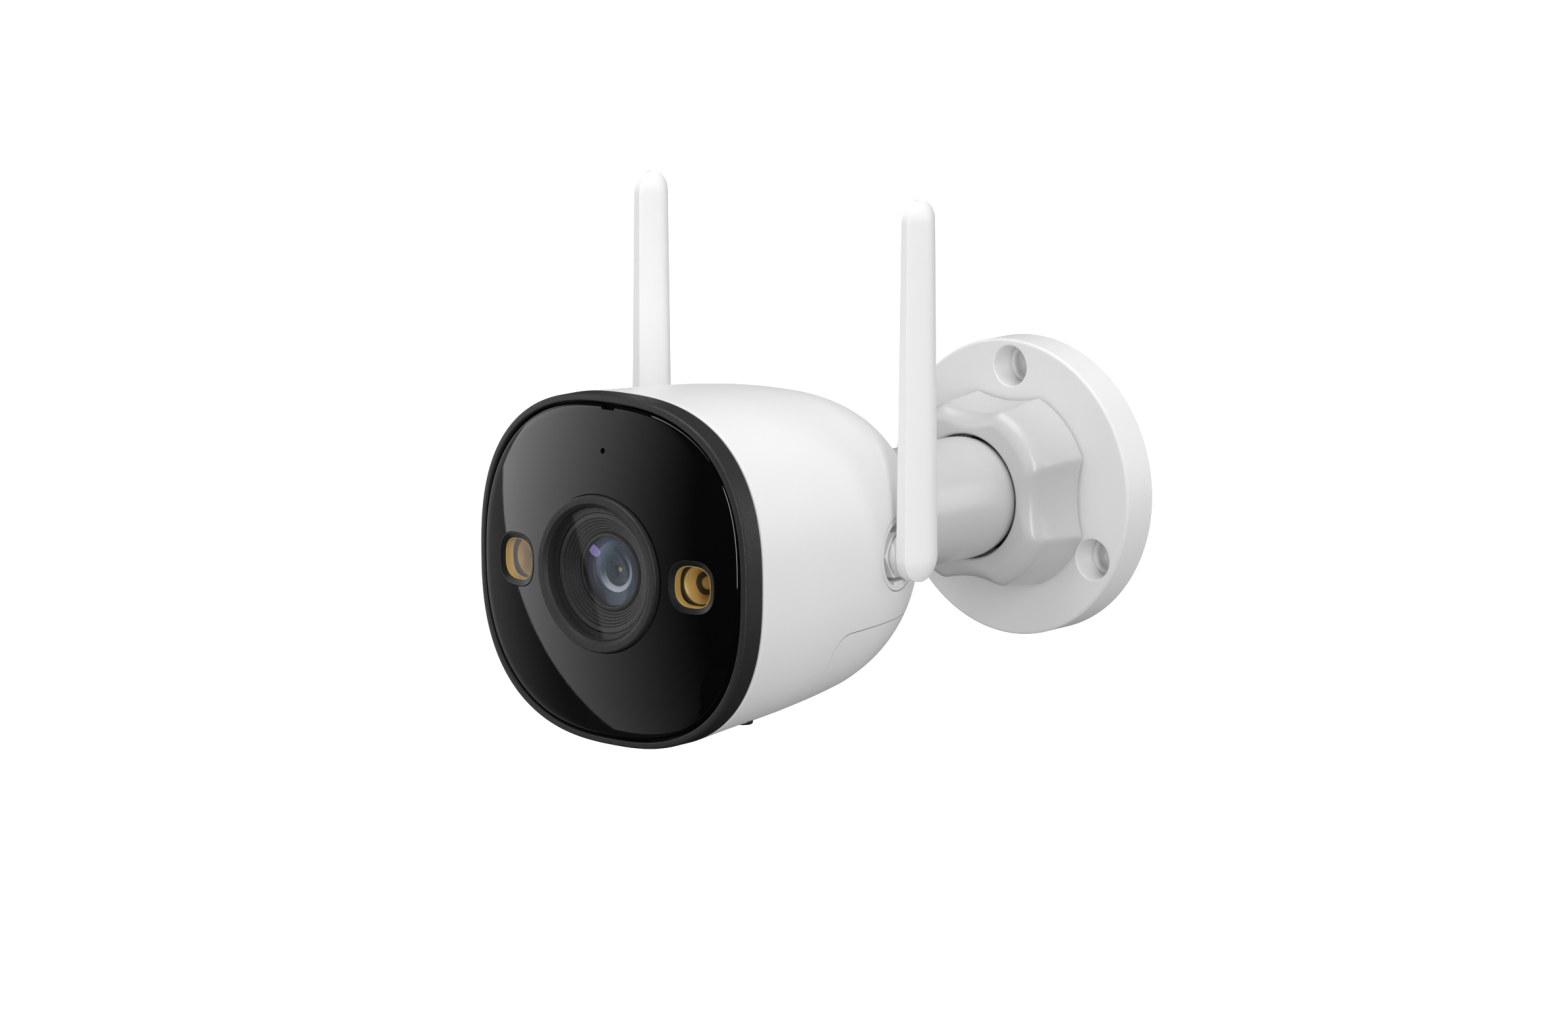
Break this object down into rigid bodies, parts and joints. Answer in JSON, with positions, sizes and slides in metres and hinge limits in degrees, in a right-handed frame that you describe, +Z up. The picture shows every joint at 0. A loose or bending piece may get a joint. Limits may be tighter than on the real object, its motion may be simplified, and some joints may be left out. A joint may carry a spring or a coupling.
{
  "type": "security camera",
  "caption": "Bullet security camera with a domed black face, round lens window, two square lights and two swivelling antennas, on a ball-jointed round wall base.",
  "frame": {"origin": "centre of the round wall base's back face, on the wall", "axes": "-Y straight out of the wall, along the neck and the way the camera looks at rest; +X to the right seen from in front; +Z up, along the antennas at rest"},
  "size_m": [0.0794, 0.1447, 0.111],
  "materials": {
    "white_plastic": "fine matte grain, satin white",
    "black_plastic": "grained matte black",
    "black_gloss": "polished black",
    "clear": "clear, polished",
    "lens_glass": "coated glass with a purple and teal tint",
    "amber": "amber metallised reflector",
    "yellow_phosphor": "yellow phosphor over an emitter",
    "steel": "plated steel",
    "brass": "turned brass",
    "aluminium": "plain aluminium",
    "rubber": "soft black rubber",
    "circuit_board": "green solder mask on glass-fibre board",
    "copper_coil": "enamelled copper winding",
    "grey_plastic": "grey moulded plastic"
  },
  "bodies": {
    "base": {"wall_plate": "white_plastic", "pivot_post": "brass", "pivot_screw": "steel"},
    "nut": {"lock_nut": "white_plastic"},
    "swing": {"pivot_dome": "grey_plastic"},
    "tilt": {"friction_disc": "rubber"},
    "camera": {"antenna_collar_left": "white_plastic", "antenna_collar_right": "white_plastic", "antenna_socket_left": "white_plastic", "antenna_socket_right": "white_plastic", "bezel": "black_plastic", "board_post_left": "brass", "board_post_right": "brass", "body_shell": "white_plastic", "cable_grommet": "rubber", "card_socket": "steel", "case_screw_left": "steel", "case_screw_right": "steel", "filter_coil": "copper_coil", "front_element": "lens_glass", "front_panel": "black_gloss", "front_seal": "rubber", "hatch_screw_left": "steel", "hatch_screw_right": "steel", "heat_spreader": "aluminium", "image_sensor": "black_gloss", "lens_barrel": "black_plastic", "lens_cone": "black_plastic", "lens_holder": "black_plastic", "lens_ring": "black_plastic", "lens_window": "clear", "light_board_left": "circuit_board", "light_board_right": "circuit_board", "light_emitter_left": "yellow_phosphor", "light_emitter_right": "yellow_phosphor", "light_frame_left": "black_plastic", "light_frame_right": "black_plastic", "light_reflector_left": "amber", "light_reflector_right": "amber", "light_sensor": "clear", "light_window_left": "clear", "light_window_right": "clear", "main_board": "circuit_board", "microphone": "aluminium", "neck": "white_plastic", "neck_ring_nut": "brass", "neck_screw": "steel", "reset_switch": "black_plastic", "sensor_board": "circuit_board", "service_board": "circuit_board", "service_hatch": "white_plastic", "speaker": "grey_plastic", "speaker_seal": "rubber"},
    "antenna_left": {"antenna_left": "white_plastic", "antenna_clip_left": "steel"},
    "antenna_right": {"antenna_right": "white_plastic", "antenna_clip_right": "steel"},
    "filter": {"ir_cut_filter": "lens_glass"},
    "card": {"memory_card": "black_plastic"},
    "button": {"reset_button": "grey_plastic"}
  },
  "joints": [
    {"name": "nut_turn", "type": "hinge", "parent": "base", "child": "nut", "pos_m": [0, -0.0167, 0], "axis": [0, 1, 0], "range_deg": [-120, 0]},
    {"name": "ball_swing", "type": "hinge", "parent": "base", "child": "swing", "pos_m": [0, -0.0269, 0], "axis": [0, 1, 0], "range_deg": [-90, 90]},
    {"name": "ball_tilt", "type": "hinge", "parent": "swing", "child": "tilt", "pos_m": [0, -0.0269, 0], "axis": [1, 0, 0], "range_deg": [-22, 22]},
    {"name": "ball_roll", "type": "hinge", "parent": "tilt", "child": "camera", "pos_m": [0, -0.0269, 0], "axis": [0, 1, 0], "range_deg": [-180, 180]},
    {"name": "antenna_left_swivel", "type": "hinge", "parent": "camera", "child": "antenna_left", "pos_m": [-0.0369, -0.086, 0], "axis": [1, 0, 0], "range_deg": [-90, 45]},
    {"name": "antenna_right_swivel", "type": "hinge", "parent": "camera", "child": "antenna_right", "pos_m": [0.0369, -0.086, 0], "axis": [1, 0, 0], "range_deg": [-90, 45]},
    {"name": "filter_switch", "type": "slide", "parent": "camera", "child": "filter", "axis": [1, 0, 0], "range_m": [0, 0.006]},
    {"name": "card_eject", "type": "slide", "parent": "camera", "child": "card", "axis": [1, 0, 0], "range_m": [0, 0.01]},
    {"name": "reset_press", "type": "slide", "parent": "camera", "child": "button", "axis": [0, 0, 1], "range_m": [0, 0.0005], "stiffness_N_per_m": 400, "springref_m": -0.0005}
  ]
}
